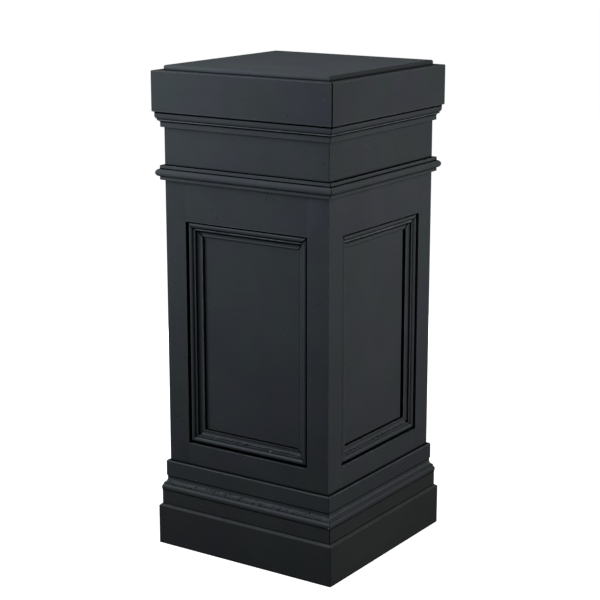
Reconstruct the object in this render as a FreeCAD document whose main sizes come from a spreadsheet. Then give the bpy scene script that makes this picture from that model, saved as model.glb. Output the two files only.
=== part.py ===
import FreeCAD, Part
import math
import os

import Sketcher

# A square pedestal of painted wood: a hollow framed-and-panelled carcass on a plinth, with a
# boxed cap round its top board. The four sides are alike. Each side piece is drawn on the side
# that faces +X and then turned about the vertical axis to its own side.

DIMENSIONS = [
    ("total_height", 935.5, "floor to the top of the top board"),
    ("body_width", 365, "carcass, face to face"),
    ("frame_thickness", 18, "stiles, rails and frieze boards"),
    ("carcass_lift", 3, "carcass kept clear of the floor, so that the plinth carries it"),
    ("rail_joint_level", 736, "where the frame ends and the frieze boards start"),
    ("top_thickness", 18, "top board"),
    ("top_gap", 0.5, "between the top board and the cap boards"),
    ("top_arris", 3, "rounding of the top board"),
    ("cap_foot", 850, "underside of the cap boards"),
    ("cap_height", 76.4, "cap boards"),
    ("cap_thickness", 16.6, "cap boards"),
    ("cap_arris", 2, "rounding of the outer edges of the cap boards"),
    ("cap_inner_arris", 0.8, "rounding of the cap boards beside the top board"),
    ("bed_height", 28.7, "bed moulding under the cap"),
    ("bed_foot_out", 5.5, "lowest face of the bed moulding, out from the carcass"),
    ("bed_foot_height", 8.2, "lowest face of the bed moulding"),
    ("bed_cove_height", 4, "small hollow of the bed moulding"),
    ("bed_cove_radius", 4, "small hollow of the bed moulding"),
    ("bed_fillet_out", 9.8, "flat between the hollow and the round"),
    ("bed_fillet_height", 3, "flat between the hollow and the round"),
    ("bed_ovolo_height", 6.5, "round of the bed moulding"),
    ("bed_ovolo_radius", 8.2, "round of the bed moulding"),
    ("bed_top_out", 13, "upper face of the bed moulding"),
    ("astragal_height", 27.5, "moulding over the joint of frame and frieze"),
    ("astragal_out", 7.1, "flats above and below the bead"),
    ("astragal_flat", 6.5, "height of each flat"),
    ("astragal_bead_radius", 7.3, "bead"),
    ("opening_width", 272.6, "opening of the frame on each side"),
    ("opening_foot", 212.7, "lower edge of the opening"),
    ("opening_height", 434.6, "opening of the frame on each side"),
    ("tenon_thickness", 6, "stub tenons of the rails"),
    ("tenon_length", 12, "stub tenons of the rails"),
    ("tenon_shoulder", 12, "rail left above and below its tenon"),
    ("mortise_room", 1, "space for glue past the end of a tenon"),
    ("panel_thickness", 6, "panel planted on the back of the frame"),
    ("panel_lap", 9.2, "panel over the back of the frame"),
    ("stick_gap", 3.7, "shadow gap between the frame and its panel moulding"),
    ("stick_width", 26.3, "panel moulding"),
    ("stick_wall", 11, "outer wall of the panel moulding"),
    ("bead_width", 9.7, "bead along the outer edge"),
    ("bead_radius", 4.9, "bead along the outer edge"),
    ("shelf_width", 4, "flat beside the bead"),
    ("shelf_height", 11.8, "flat beside the bead"),
    ("scoop_start_height", 7.7, "hollow, at the foot of the step down from the flat"),
    ("scoop_end_height", 6.3, "hollow, at the lip"),
    ("scoop_radius", 9.3, "hollow"),
    ("lip_width", 1.7, "rounded lip on the panel side"),
    ("lip_height", 5.2, "top of the inner wall"),
    ("lip_radius", 1.6, "rounded lip on the panel side"),
    ("plinth_height", 82, "plinth boards"),
    ("plinth_thickness", 17.5, "plinth boards"),
    ("plinth_chamfer_height", 6, "bevel along the top of the plinth"),
    ("plinth_arris", 1, "rounding at the floor"),
    ("base_board_height", 27.5, "board between the plinth and the base moulding"),
    ("base_board_thickness", 12.2, "board between the plinth and the base moulding"),
    ("base_moulding_height", 60.8, "base moulding"),
    ("nose_height", 12.1, "round nose at the foot of the base moulding"),
    ("nose_radius", 10.35, "round nose at the foot of the base moulding"),
    ("ogee_fillet_out", 10.4, "flat between the nose and the hollow"),
    ("ogee_fillet_height", 3, "flat between the nose and the hollow"),
    ("cove_height", 8.2, "hollow of the base moulding"),
    ("cove_radius", 8.75, "hollow of the base moulding"),
    ("neck_out", 4.7, "sunk line under the upper band"),
    ("neck_height", 5.9, "sunk line under the upper band"),
    ("band_out", 6, "upper band of the base moulding"),
    ("band_radius", 3, "rounded top of the upper band"),
    ("post_width", 18, "corner posts inside the carcass"),
    ("post_bevel", 4, "inner edge of the corner posts"),
    ("sheet_thickness", 12, "plywood top and bottom of the carcass"),
    ("screw_inset", 140, "rows of top screws, out from the axis"),
    ("screw_spread", 70, "top screws of a row, each side of the middle"),
    ("screw_length", 25, "top screws"),
    ("screw_diameter", 4, "top screws"),
    ("screw_head_diameter", 8, "top screws"),
    ("screw_point", 4, "tapered end of the top screws"),
    ("screw_tip_radius", 0.4, "blunt tip of the top screws"),
    ("screw_clearance", 4.5, "holes for the top screws in the carcass top"),
]

SIDES = {"right": 0, "back": 90, "left": 180, "front": 270}
CORNERS = {"back_right": 0, "back_left": 90, "front_left": 180, "front_right": 270}
HANDS = {"right": 1, "left": -1}
CUT_MARGIN = 1.0  # how far a cut runs past the wood that it takes away
COUNTERSINK_ANGLE = 90
SMALLEST_CUT = 1.0  # cubic millimetres that a cut has to take away to count

# Levels and faces that the pieces share, as formulas of the sheet.
FACE = "dims.body_width / 2"
FRAME_BACK = f"{FACE} - dims.frame_thickness"
TOP_FOOT = "dims.total_height - dims.top_thickness"
CARCASS_TOP_FOOT = f"{TOP_FOOT} - dims.sheet_thickness"
CARCASS_BOTTOM_TOP = "dims.carcass_lift + dims.sheet_thickness"
OPENING_TOP = "dims.opening_foot + dims.opening_height"
BASE_MOULDING_FOOT = "dims.plinth_height + dims.base_board_height"
ASTRAGAL_FOOT = "dims.rail_joint_level - dims.astragal_height / 2"
BED_FOOT = "dims.cap_foot - dims.bed_height"

doc = FreeCAD.newDocument("PedestalStand")
sheet = doc.addObject("Spreadsheet::Sheet", "dims")
for row, (alias, size, meaning) in enumerate(DIMENSIONS, start=1):
    sheet.set(f"A{row}", alias)
    sheet.set(f"B{row}", str(size))
    sheet.set(f"C{row}", meaning)
    sheet.setAlias(f"B{row}", alias)
doc.recompute()

subparts = []
cuts = []


def value(formula):
    """The number that a formula of the sheet gives."""
    return float(sheet.evalExpression(formula))


def point(across, up):
    return FreeCAD.Vector(value(across), value(up), 0)


# ---------------------------------------------------------------- sketches

def origin_feature(body, role):
    return next(item for item in body.Origin.OriginFeatures if item.Role == role)


def new_sketch(body, name, role, offset=None):
    """An empty sketch on one of the body's own planes, moved along its normal by a formula."""
    sketch = body.newObject("Sketcher::SketchObject", name)
    sketch.AttachmentSupport = [(origin_feature(body, role), "")]
    sketch.MapMode = "FlatFace"
    if offset:
        sketch.setExpression("AttachmentOffset.Base.z", offset)
    return sketch


def hold_point(sketch, geometry, end, across, up):
    """Tie one end of a sketch element to its place, given by two formulas."""
    places = (("DistanceX", across, -2), ("DistanceY", up, -1))
    for kind, formula, axis in places:
        if formula == "0":
            sketch.addConstraint(Sketcher.Constraint("PointOnObject", geometry, end, axis))
            continue
        index = sketch.addConstraint(
            Sketcher.Constraint(kind, -1, 1, geometry, end, value(formula)))
        sketch.setExpression(f"Constraints[{index}]", formula)


def arc_between(start, end, radius, turn):
    """The shorter arc from start to end; a round one bulges out of the wood, a hollow one in."""
    chord = end - start
    reach = math.sqrt(radius ** 2 - (chord.Length / 2) ** 2)
    left = FreeCAD.Vector(-chord.y, chord.x, 0).normalize()
    towards = left if turn == "round" else -left
    centre = (start + end) / 2 + towards * reach
    first, last = (start, end) if turn == "round" else (end, start)
    angles = [math.atan2(p.y - centre.y, p.x - centre.x) for p in (first, last)]
    circle = Part.Circle(centre, FreeCAD.Vector(0, 0, 1), radius)
    return Part.ArcOfCircle(circle, *angles)


def draw_outline(sketch, corners):
    """A closed outline, counterclockwise, held by formulas.

    A corner is (across, up), reached by a straight line from the corner before it, or
    (across, up, radius, turn), reached by an arc.
    """
    base = sketch.GeometryCount
    count = len(corners)
    ends = []
    for index, corner in enumerate(corners):
        start = point(*corners[index - 1][:2])
        end = point(*corner[:2])
        arc = corner[2:]
        if arc:
            sketch.addGeometry(arc_between(start, end, value(arc[0]), arc[1]), False)
        else:
            sketch.addGeometry(Part.LineSegment(start, end), False)
        ends.append((2, 1) if arc and arc[1] == "hollow" else (1, 2))
    for index, corner in enumerate(corners):
        following = (index + 1) % count
        sketch.addConstraint(Sketcher.Constraint(
            "Coincident", base + index, ends[index][1], base + following, ends[following][0]))
        hold_point(sketch, base + index, ends[index][1], *corner[:2])
        if corner[2:]:
            radius = sketch.addConstraint(
                Sketcher.Constraint("Radius", base + index, value(corner[2])))
            sketch.setExpression(f"Constraints[{radius}]", corner[2])


def draw_box(sketch, left, foot, right, top):
    draw_outline(sketch, [(left, foot), (right, foot), (right, top), (left, top)])


def draw_circle(sketch, across, up, diameter):
    circle = Part.Circle(point(across, up), FreeCAD.Vector(0, 0, 1), value(diameter) / 2)
    geometry = sketch.addGeometry(circle, False)
    hold_point(sketch, geometry, 3, across, up)
    size = sketch.addConstraint(Sketcher.Constraint("Diameter", geometry, value(diameter)))
    sketch.setExpression(f"Constraints[{size}]", diameter)


# ---------------------------------------------------------------- features

def new_body(label):
    body = doc.addObject("PartDesign::Body", label)
    body.Label = label
    subparts.append(body)
    return body


def pad(body, sketch, length, name="wood", both_ways=False):
    feature = body.newObject("PartDesign::Pad", name)
    feature.Profile = sketch
    feature.SideType = "Symmetric" if both_ways else "One side"
    feature.setExpression("Length", length)
    doc.recompute()
    return feature


def note_cut(body, before, feature):
    """Record how much wood a cut took away, for the check at the end."""
    doc.recompute()
    cuts.append((f"{body.Label} {feature.Name}", before - feature.Shape.Volume))
    return feature


def pocket(body, sketch, name, length=None, flipped=False):
    """A cut of a given depth, or right through both ways."""
    before = body.Shape.Volume
    feature = body.newObject("PartDesign::Pocket", name)
    feature.Profile = sketch
    feature.Reversed = flipped
    if length:
        feature.setExpression("Length", length)
    else:
        feature.SideType = "Symmetric"
        feature.Type = "ThroughAll"
    return note_cut(body, before, feature)


def pattern_round_axis(body, name, features, count=4):
    feature = body.newObject("PartDesign::PolarPattern", name)
    feature.Originals = features
    feature.Axis = (origin_feature(body, "Z_Axis"), [""])
    feature.Angle = 360
    feature.Occurrences = count
    body.Tip = feature
    doc.recompute()
    return feature


def edges_at(shape, level):
    """Names of the edges that lie in a level plane."""
    return [f"Edge{number}" for number, edge in enumerate(shape.Edges, start=1)
            if all(abs(vertex.Z - level) < 1e-6 for vertex in edge.Vertexes)]


def upright_edges(shape, reach):
    """Names of the vertical edges whose two plan coordinates come to the given sum."""
    names = []
    for number, edge in enumerate(shape.Edges, start=1):
        first, last = (vertex.Point for vertex in edge.Vertexes)
        if first.x == last.x and first.y == last.y and abs(first.x + first.y - reach) < 1e-6:
            names.append(f"Edge{number}")
    return names


def turn_to(body, angle):
    body.Placement = FreeCAD.Placement(
        FreeCAD.Vector(), FreeCAD.Rotation(FreeCAD.Vector(0, 0, 1), angle))


# ---------------------------------------------------------------- side pieces

def mitred_board(label, angle, foot, outline):
    """A length of board or moulding on one side, mitred at both ends.

    The outline is in formulas: out from the carcass face, and up from the foot of the piece.
    """
    body = new_body(label)
    corners = [(f"{FACE} + {out}", f"{foot} + {up}", *arc) for out, up, *arc in outline]
    reaches = sorted((corner[0] for corner in corners), key=value)
    inner, outer = reaches[0], reaches[-1]
    profile = new_sketch(body, "profile", "XZ_Plane")
    draw_outline(profile, corners)
    pad(body, profile, f"2 * ({outer})", both_ways=True)
    mitre = new_sketch(body, "mitre", "XY_Plane")
    near, far = f"{inner} - {CUT_MARGIN}", f"{outer} + {CUT_MARGIN}"
    draw_outline(mitre, [(near, near), (far, far), (near, far)])
    draw_outline(mitre, [(near, f"-({near})"), (near, f"-({far})"), (far, f"-({far})")])
    pocket(body, mitre, "mitre_cut")
    turn_to(body, angle)
    return body


def box_outline(inner, outer, height):
    return [(inner, "0"), (outer, "0"), (outer, height), (inner, height)]


def cap_outline():
    thickness, height, arris = "dims.cap_thickness", "dims.cap_height", "dims.cap_arris"
    inner_arris = "dims.cap_inner_arris"
    return [
        ("0", "0"),
        (f"{thickness} - {arris}", "0"),
        (thickness, arris, arris, "round"),
        (thickness, f"{height} - {arris}"),
        (f"{thickness} - {arris}", height, arris, "round"),
        (inner_arris, height),
        ("0", f"{height} - {inner_arris}", inner_arris, "round"),
    ]


def bed_moulding_outline():
    cove_top = "dims.bed_foot_height + dims.bed_cove_height"
    ovolo_foot = f"{cove_top} + dims.bed_fillet_height"
    ovolo_top = f"{ovolo_foot} + dims.bed_ovolo_height"
    return [
        ("0", "0"),
        ("dims.bed_foot_out", "0"),
        ("dims.bed_foot_out", "dims.bed_foot_height"),
        ("dims.bed_fillet_out", cove_top, "dims.bed_cove_radius", "hollow"),
        ("dims.bed_fillet_out", ovolo_foot),
        ("dims.bed_top_out", ovolo_top, "dims.bed_ovolo_radius", "round"),
        ("dims.bed_top_out", "dims.bed_height"),
        ("0", "dims.bed_height"),
    ]


def astragal_outline():
    bead_top = "dims.astragal_height - dims.astragal_flat"
    return [
        ("0", "0"),
        ("dims.astragal_out", "0"),
        ("dims.astragal_out", "dims.astragal_flat"),
        ("dims.astragal_out", bead_top, "dims.astragal_bead_radius", "round"),
        ("dims.astragal_out", "dims.astragal_height"),
        ("0", "dims.astragal_height"),
    ]


def base_moulding_outline():
    cove_foot = "dims.nose_height + dims.ogee_fillet_height"
    neck_foot = f"{cove_foot} + dims.cove_height"
    band_foot = f"{neck_foot} + dims.neck_height"
    top = "dims.base_moulding_height"
    return [
        ("0", "0"),
        ("dims.base_board_thickness", "0"),
        ("dims.ogee_fillet_out", "dims.nose_height", "dims.nose_radius", "round"),
        ("dims.ogee_fillet_out", cove_foot),
        ("dims.neck_out", neck_foot, "dims.cove_radius", "hollow"),
        ("dims.neck_out", band_foot),
        ("dims.band_out", band_foot),
        ("dims.band_out", f"{top} - dims.band_radius"),
        ("dims.band_out - dims.band_radius", top, "dims.band_radius", "round"),
        ("0", top),
    ]


def plinth_outline():
    chamfer_foot = "dims.plinth_height - dims.plinth_chamfer_height"
    return [
        ("0", "0"),
        ("dims.plinth_thickness - dims.plinth_arris", "0"),
        ("dims.plinth_thickness", "dims.plinth_arris", "dims.plinth_arris", "round"),
        ("dims.plinth_thickness", chamfer_foot),
        ("dims.base_board_thickness", "dims.plinth_height"),
        ("0", "dims.plinth_height"),
    ]


def stile(label, angle, hand):
    """An upright of the frame: mitred to its neighbour round the corner, mortised for rails."""
    body = new_body(label)
    edge = "dims.opening_width / 2"
    plan = new_sketch(body, "plan", "XY_Plane", "dims.carcass_lift")
    corners = [(FRAME_BACK, edge), (FACE, edge), (FACE, FACE), (FRAME_BACK, FRAME_BACK)]
    draw_outline(plan, [(out, f"{hand} * ({across})") for out, across in corners][::hand])
    pad(body, plan, "dims.rail_joint_level - dims.carcass_lift")
    middle = f"{FACE} - dims.frame_thickness / 2"
    inner, outer = (f"{middle} {sign} dims.tenon_thickness / 2" for sign in "-+")
    mortises = new_sketch(body, "mortises", "XZ_Plane")
    for foot, top in rail_levels():
        draw_box(mortises, inner, f"{foot} + dims.tenon_shoulder",
                 outer, f"{top} - dims.tenon_shoulder")
    depth = f"{edge} + dims.tenon_length + dims.mortise_room"
    pocket(body, mortises, "mortise_cut", depth, flipped=hand < 0)
    turn_to(body, angle)


def rail_levels():
    """Foot and top of the bottom rail and of the top rail."""
    return [("dims.carcass_lift", "dims.opening_foot"), (OPENING_TOP, "dims.rail_joint_level")]


def rail(label, angle, foot, top):
    """A cross piece of the frame, with a stub tenon at each end."""
    body = new_body(label)
    section = new_sketch(body, "section", "XZ_Plane")
    draw_box(section, FRAME_BACK, foot, FACE, top)
    pad(body, section, "dims.opening_width", both_ways=True)
    middle = f"{FACE} - dims.frame_thickness / 2"
    tenon = new_sketch(body, "tenon", "XZ_Plane")
    draw_box(tenon, f"{middle} - dims.tenon_thickness / 2", f"{foot} + dims.tenon_shoulder",
             f"{middle} + dims.tenon_thickness / 2", f"{top} - dims.tenon_shoulder")
    pad(body, tenon, "dims.opening_width + 2 * dims.tenon_length", "tenons", both_ways=True)
    turn_to(body, angle)


def panel(label, angle):
    """The flat panel, glued on the back of the frame round its opening."""
    body = new_body(label)
    section = new_sketch(body, "section", "XZ_Plane")
    draw_box(section, f"{FRAME_BACK} - dims.panel_thickness",
             "dims.opening_foot - dims.panel_lap",
             FRAME_BACK, f"{OPENING_TOP} + dims.panel_lap")
    pad(body, section, "dims.opening_width + 2 * dims.panel_lap", both_ways=True)
    turn_to(body, angle)


# ---------------------------------------------------------------- panel mouldings

def moulding_stick(label, length):
    """One stick of panel moulding, lying with its length along X and its back on Z = 0.

    Y runs from its outer edge towards the middle of the panel, and both ends are mitred.
    """
    body = doc.addObject("PartDesign::Body", label)
    shelf_end = "dims.bead_width + dims.shelf_width"
    profile = new_sketch(body, "profile", "YZ_Plane")
    draw_outline(profile, [
        ("0", "0"),
        ("dims.stick_width", "0"),
        ("dims.stick_width", "dims.lip_height"),
        ("dims.stick_width - dims.lip_width", "dims.scoop_end_height",
         "dims.lip_radius", "round"),
        (shelf_end, "dims.scoop_start_height", "dims.scoop_radius", "hollow"),
        (shelf_end, "dims.shelf_height"),
        ("dims.bead_width", "dims.shelf_height"),
        ("0", "dims.stick_wall", "dims.bead_radius", "round"),
    ])
    pad(body, profile, length, both_ways=True)
    mitre = new_sketch(body, "mitre", "XY_Plane")
    end = f"({length}) / 2 + {CUT_MARGIN}"
    inner_end = f"({length}) / 2 - dims.stick_width - {CUT_MARGIN}"
    near, far = f"-{CUT_MARGIN}", f"dims.stick_width + {CUT_MARGIN}"
    draw_outline(mitre, [(end, near), (end, far), (inner_end, far)])
    draw_outline(mitre, [(f"-({end})", near), (f"-({inner_end})", far), (f"-({end})", far)])
    pocket(body, mitre, "mitre_cut")
    return body


def place_stick(body, quarter_turns, across, up):
    """Stand a stick on the panel that faces +X, turned about X from the bottom stick."""
    out_of_panel = FreeCAD.Rotation(
        FreeCAD.Vector(0, 1, 0), FreeCAD.Vector(0, 0, 1), FreeCAD.Vector(1, 0, 0), "XYZ")
    round_frame = FreeCAD.Rotation(FreeCAD.Vector(1, 0, 0), 90 * quarter_turns)
    body.Placement = FreeCAD.Placement(FreeCAD.Vector(), round_frame * out_of_panel)
    body.setExpression("Placement.Base.x", FRAME_BACK)
    body.setExpression("Placement.Base.y", across)
    body.setExpression("Placement.Base.z", up)


def panel_mouldings():
    """Four mitred sticks round each panel, the same set on all four sides."""
    level_length = "dims.opening_width - 2 * dims.stick_gap"
    upright_length = "dims.opening_height - 2 * dims.stick_gap"
    reach = "dims.opening_width / 2 - dims.stick_gap"
    middle = "dims.opening_foot + dims.opening_height / 2"
    places = {
        "bottom": (level_length, "0", "dims.opening_foot + dims.stick_gap"),
        "right": (upright_length, reach, middle),
        "top": (level_length, "0", f"{OPENING_TOP} - dims.stick_gap"),
        "left": (upright_length, f"-({reach})", middle),
    }
    sticks = []
    for quarter_turns, (edge, (length, across, up)) in enumerate(places.items()):
        stick = moulding_stick(f"stick_{edge}", length)
        place_stick(stick, quarter_turns, across, up)
        sticks.append(stick)
    for side, angle in SIDES.items():
        frame = doc.addObject("Part::Compound", f"panel_moulding_{side}")
        frame.Label = f"panel_moulding_{side}"
        frame.Links = sticks
        turn_to(frame, angle)
        subparts.append(frame)


# ---------------------------------------------------------------- top, carcass sheets, posts

def square_sheet(label, half_width, foot, thickness):
    body = new_body(label)
    plan = new_sketch(body, "plan", "XY_Plane", foot)
    draw_box(plan, f"-({half_width})", f"-({half_width})", half_width, half_width)
    pad(body, plan, thickness)
    return body


def top_board():
    """The slab that shows inside the cap, with blind holes for the screws from below."""
    body = square_sheet("top_board", f"{FACE} - dims.top_gap", TOP_FOOT, "dims.top_thickness")
    slab = body.Tip
    rounding = body.newObject("PartDesign::Fillet", "rounded_top")
    rounding.Base = (slab, edges_at(slab.Shape, value("dims.total_height")))
    rounding.setExpression("Radius", "dims.top_arris")
    doc.recompute()
    pilots = new_sketch(body, "pilots", "XY_Plane", TOP_FOOT)
    for hand in HANDS.values():
        draw_circle(pilots, "dims.screw_inset", f"{hand} * dims.screw_spread",
                    "dims.screw_diameter")
    depth = "dims.screw_length - dims.sheet_thickness + dims.mortise_room"
    row = pocket(body, pilots, "pilot_holes", depth, flipped=True)
    pattern_round_axis(body, "four_rows", [row])


def carcass_top():
    """Plywood that squares the carcass and takes the screws of the top board."""
    body = square_sheet("carcass_top", FRAME_BACK, CARCASS_TOP_FOOT, "dims.sheet_thickness")
    before = body.Shape.Volume
    centres = new_sketch(body, "centres", "XY_Plane", CARCASS_TOP_FOOT)
    for hand in HANDS.values():
        draw_circle(centres, "dims.screw_inset", f"{hand} * dims.screw_spread",
                    "dims.screw_clearance")
    doc.recompute()
    row = body.newObject("PartDesign::Hole", "screw_holes")
    row.Profile = centres
    row.Reversed = True
    row.DepthType = "ThroughAll"
    row.setExpression("Diameter", "dims.screw_clearance")
    row.HoleCutType = "Countersink"
    row.setExpression("HoleCutDiameter", "dims.screw_head_diameter")
    row.HoleCutCountersinkAngle = COUNTERSINK_ANGLE
    note_cut(body, before, row)
    pattern_round_axis(body, "four_rows", [row])


def screw_outline():
    """Half of a countersunk screw, head down, from its axis outwards."""
    foot = CARCASS_TOP_FOOT
    shank = "dims.screw_inset + dims.screw_diameter / 2"
    head_height = "(dims.screw_head_diameter - dims.screw_diameter) / 2"
    end = f"{foot} + dims.screw_length"
    return [
        ("dims.screw_inset", foot),
        ("dims.screw_inset + dims.screw_head_diameter / 2", foot),
        (shank, f"{foot} + {head_height}"),
        (shank, f"{end} - dims.screw_point"),
        ("dims.screw_inset + dims.screw_tip_radius", end),
        ("dims.screw_inset", end),
    ]


def top_screws():
    """Eight countersunk screws, two in a row along each side of the carcass top."""
    body = new_body("top_screws")
    turned = []
    for name, hand in HANDS.items():
        half = new_sketch(body, f"half_screw_{name}", "XZ_Plane", f"{hand} * dims.screw_spread")
        draw_outline(half, screw_outline())
        axis = half.addGeometry(Part.LineSegment(
            point("dims.screw_inset", "0"), point("dims.screw_inset", CARCASS_TOP_FOOT)), True)
        hold_point(half, axis, 1, "dims.screw_inset", "0")
        hold_point(half, axis, 2, "dims.screw_inset", CARCASS_TOP_FOOT)
        screw = body.newObject("PartDesign::Revolution", f"screw_{name}")
        screw.Profile = half
        screw.ReferenceAxis = (half, ["Axis0"])
        screw.Angle = 360
        doc.recompute()
        turned.append(screw)
    pattern_round_axis(body, "four_rows", turned)


def corner_post(label, angle):
    """A post glued into the corner, from the carcass bottom up to the carcass top."""
    body = new_body(label)
    inner = f"{FRAME_BACK} - dims.post_width"
    plan = new_sketch(body, "plan", "XY_Plane", CARCASS_BOTTOM_TOP)
    draw_box(plan, inner, inner, FRAME_BACK, FRAME_BACK)
    pad(body, plan, f"{CARCASS_TOP_FOOT} - ({CARCASS_BOTTOM_TOP})")
    wood = body.Tip
    before = wood.Shape.Volume
    bevel = body.newObject("PartDesign::Chamfer", "inner_bevel")
    bevel.Base = (wood, upright_edges(wood.Shape, 2 * value(inner)))
    bevel.setExpression("Size", "dims.post_bevel")
    note_cut(body, before, bevel)
    turn_to(body, angle)


def side_pieces(side, angle):
    """Everything that one side of the stand has of its own."""
    stacked = [
        ("plinth_board", "0", plinth_outline()),
        ("base_board", "dims.plinth_height",
         box_outline("0", "dims.base_board_thickness", "dims.base_board_height")),
        ("base_moulding", BASE_MOULDING_FOOT, base_moulding_outline()),
        ("astragal", ASTRAGAL_FOOT, astragal_outline()),
        ("frieze_board", "dims.rail_joint_level",
         box_outline("-dims.frame_thickness", "0", f"{TOP_FOOT} - dims.rail_joint_level")),
        ("bed_moulding", BED_FOOT, bed_moulding_outline()),
        ("cap_board", "dims.cap_foot", cap_outline()),
    ]
    for name, foot, outline in stacked:
        mitred_board(f"{name}_{side}", angle, foot, outline)
    for hand_name, hand in HANDS.items():
        stile(f"{hand_name}_stile_{side}", angle, hand)
    for name, (foot, top) in zip(("bottom_rail", "top_rail"), rail_levels()):
        rail(f"{name}_{side}", angle, foot, top)
    panel(f"panel_{side}", angle)


# ---------------------------------------------------------------- checks and files

def check_document():
    """Stop before anything is written if an object failed or a cut missed the wood."""
    doc.recompute()
    failed = [item.Label for item in doc.Objects
              if "Invalid" in item.State or "Error" in item.State]
    loose = [item.Label for item in doc.Objects
             if item.TypeId == "Sketcher::SketchObject" and not item.FullyConstrained]
    missed = [name for name, taken in cuts if taken < SMALLEST_CUT]
    broken = [item.Label for item in subparts
              if item.Shape.isNull() or not item.Shape.isValid()]
    faults = {"failed": failed, "loose sketches": loose, "empty cuts": missed, "broken": broken}
    if any(faults.values()):
        raise RuntimeError(f"model faults: {faults}")


def write_files():
    os.makedirs("parts", exist_ok=True)
    for item in subparts:
        item.Shape.exportStep(f"parts/{item.Label}.step")


for side_name, side_angle in SIDES.items():
    side_pieces(side_name, side_angle)
for corner_name, corner_angle in CORNERS.items():
    corner_post(f"corner_post_{corner_name}", corner_angle)
panel_mouldings()
square_sheet("carcass_bottom", FRAME_BACK, "dims.carcass_lift", "dims.sheet_thickness")
carcass_top()
top_board()
top_screws()
check_document()
write_files()
print(f"{len(subparts)} sub-parts written")
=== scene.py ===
import math
import random

import bmesh
import bpy
from mathutils import Matrix, Vector, noise


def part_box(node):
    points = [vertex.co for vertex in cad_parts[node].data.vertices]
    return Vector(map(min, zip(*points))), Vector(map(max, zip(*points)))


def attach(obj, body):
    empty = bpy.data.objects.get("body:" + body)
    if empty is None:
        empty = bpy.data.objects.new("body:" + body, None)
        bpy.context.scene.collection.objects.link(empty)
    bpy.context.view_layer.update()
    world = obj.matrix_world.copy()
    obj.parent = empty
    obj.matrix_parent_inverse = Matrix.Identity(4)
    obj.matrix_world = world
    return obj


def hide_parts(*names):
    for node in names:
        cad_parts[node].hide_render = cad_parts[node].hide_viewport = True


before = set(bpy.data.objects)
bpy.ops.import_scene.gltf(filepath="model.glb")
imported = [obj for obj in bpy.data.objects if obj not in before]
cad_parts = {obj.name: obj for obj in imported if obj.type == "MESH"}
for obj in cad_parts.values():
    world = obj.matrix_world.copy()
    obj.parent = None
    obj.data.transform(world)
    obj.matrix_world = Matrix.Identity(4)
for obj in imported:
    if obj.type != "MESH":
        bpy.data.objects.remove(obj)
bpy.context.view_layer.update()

# A square pedestal of painted wood, dressed for its looks. Every visible piece of wood but the
# flat panels is built again here with soft arrises, real mitre lines and worn edges, in the place
# of its CAD node. Side pieces are drawn in millimetres on the side that faces +X, then turned
# about Z to their own side and scaled to metres.

MM = 0.001
SIDES = {"right": 0, "back": 90, "left": 180, "front": 270}
HANDS = {"right": 1, "left": -1}


# ---------------------------------------------------------------- places read from the frame

def node_box(node):
    low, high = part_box(node)
    return Vector(low) / MM, Vector(high) / MM


def levels(node):
    low, high = node_box(node)
    return low.z, high.z


FACE = node_box("frieze_board_right")[1].x
FRAME_BACK = node_box("frieze_board_right")[0].x
PLINTH_FOOT, PLINTH_TOP = levels("plinth_board_right")
BASE_MOULDING_FOOT, BASE_MOULDING_TOP = levels("base_moulding_right")
ASTRAGAL_FOOT, ASTRAGAL_TOP = levels("astragal_right")
FRIEZE_FOOT, FRIEZE_TOP = levels("frieze_board_right")
BED_FOOT, BED_TOP = levels("bed_moulding_right")
CAP_FOOT, CAP_TOP = levels("cap_board_right")
SLAB_FOOT, SLAB_TOP = levels("top_board")
SLAB_HALF = node_box("top_board")[1].x
OPENING_FOOT = node_box("bottom_rail_right")[1].z
OPENING_TOP = node_box("top_rail_right")[0].z
OPENING_HALF = node_box("right_stile_right")[0].y
STICKS_LOW, STICKS_HIGH = node_box("panel_moulding_right")
PLINTH_OUT = node_box("plinth_board_right")[1].x - FACE
BASE_BOARD_OUT = node_box("base_board_right")[1].x - FACE
CAP_OUT = node_box("cap_board_right")[1].x - FACE

# Sizes of the profiles, in millimetres.
CAP_ARRIS = 2.0
CAP_INNER_ARRIS = 0.8
PLINTH_BEVEL_HEIGHT = 4.6
PLINTH_ARRIS = 1.0
SLAB_ARRIS = 3.0
SLAB_CORNER = 1.4
STICK_WIDTH = 26.3

ARRIS = 0.5  # how far a planed edge is rubbed round under its paint
FRAME_ARRIS = 1.0  # edges of the frame openings
SMALL_RADIUS = 3.5  # rounds up to this radius are painted pale as highlight and rub
CORNER_TURN = math.radians(20)  # an outline that turns by less has no corner there
ROUND_STEP = math.radians(9)
ARRIS_STEP = math.radians(30)
PAINT_FILL = 0.6  # share of the arris radius that paint fills in an inner corner
MOST_CUT = 0.45  # share of a strip that the rounding at its end may take
MOST_CORNER_SHADE = 0.6  # share of a strip that the painted shade and dirt at its end may take

# Each strip of a mesh has a mark, from painted shade and dirt through plain to painted highlight
# and rub.
SHADE_AND_DIRT = -1.0
PLAIN = 0.0
HIGHLIGHT_AND_RUB = 1.0
CORNER_SHADE_REACH = 0.8  # how far painted shade and dirt reach on both sides of an inner corner
LEDGE_EDGE = 0.8  # how much of a ledge stays free of painted shade and dirt at its outer edge
SHADE_LINE = 1.2  # how high a painted dark line of shade and dirt reaches along a ledge
BEVEL_SHADE = 0.2  # share of the plinth's bevel, along its top, painted dark as shade and dirt
NOSE_FOOT = (0.7, 2.1)  # out and up: the foot of the round nose, painted dark as shade and dirt

# Paint has filled the joints under the bed moulding and under the astragal, so that hardly any
# painted shade goes there: so far down the wood below, and so far up each moulding.
UNSHADED_REACH = 9.0
BED_UNSHADED = 6.0
ASTRAGAL_UNSHADED = 4.0
FRIEZE_UNSHADED_FOOT = BED_FOOT - UNSHADED_REACH
FRAME_UNSHADED_FOOT = ASTRAGAL_FOOT - UNSHADED_REACH


# ---------------------------------------------------------------- outlines

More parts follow.
